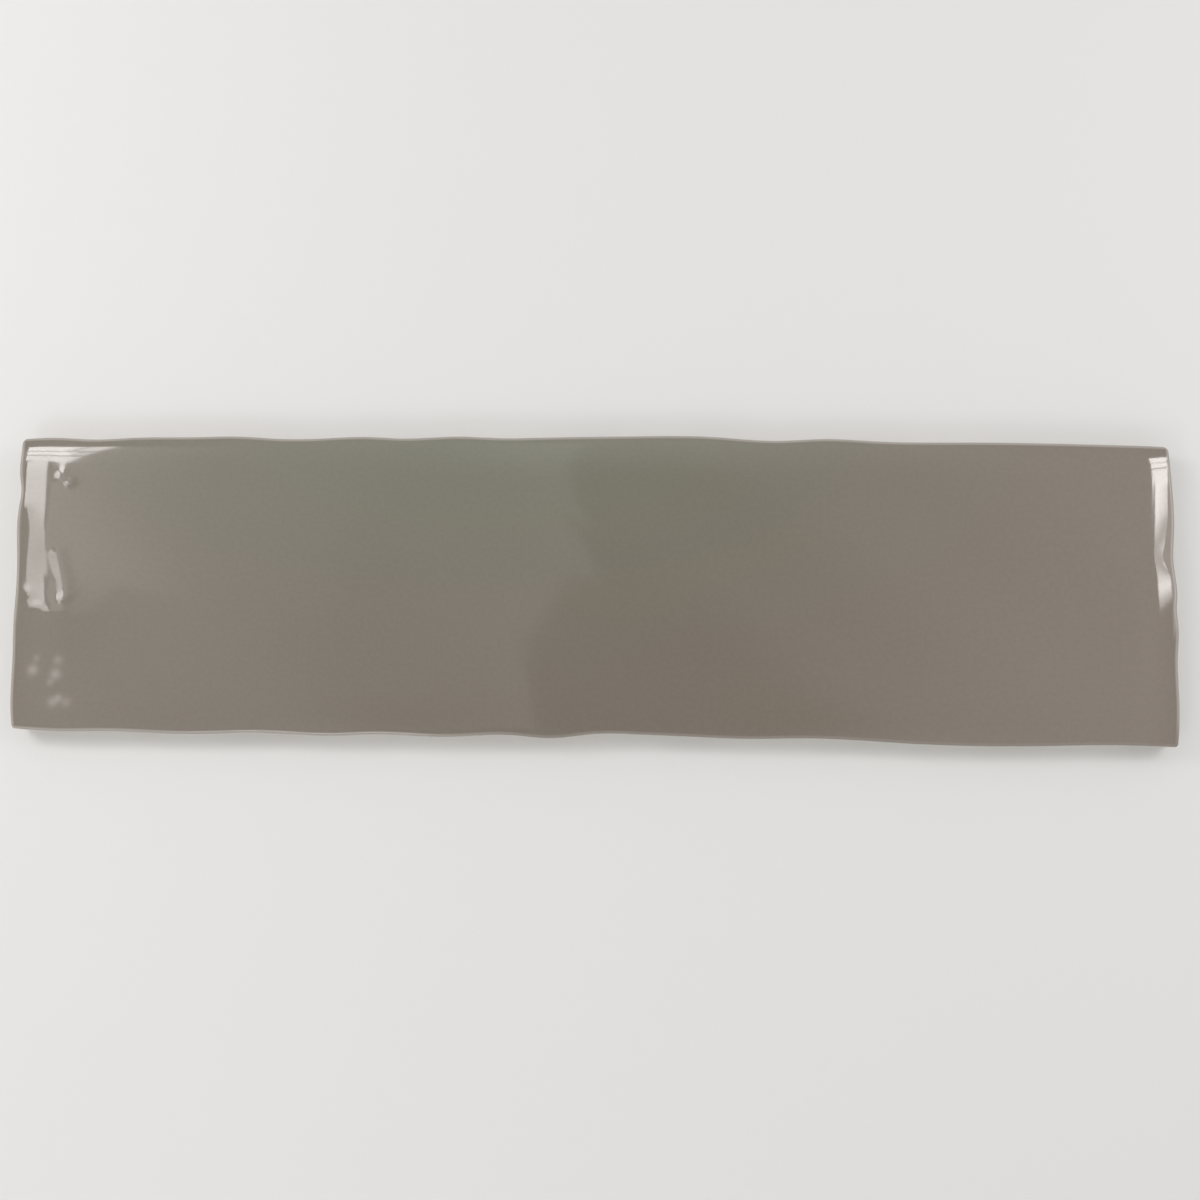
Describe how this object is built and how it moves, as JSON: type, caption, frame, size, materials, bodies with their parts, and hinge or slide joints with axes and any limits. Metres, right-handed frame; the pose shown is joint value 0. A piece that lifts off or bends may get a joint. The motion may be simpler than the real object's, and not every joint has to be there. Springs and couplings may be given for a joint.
{
  "type": "subway tile",
  "caption": "Long glossy glazed ceramic wall tile with a cushioned face, uneven hand-made-look edges and a shallow waffle-keyed back for adhesive.",
  "frame": {"origin": "centre of the back, on the plane that the tile lies on", "axes": "+X along the tile's length, +Y across its width towards the picture's upper edge, +Z out of the glazed face"},
  "size_m": [0.3006, 0.0794, 0.0092],
  "materials": {
    "glazed_tile": "gloss"
  },
  "bodies": {
    "root": {"tile": "glazed_tile"}
  },
  "joints": []
}
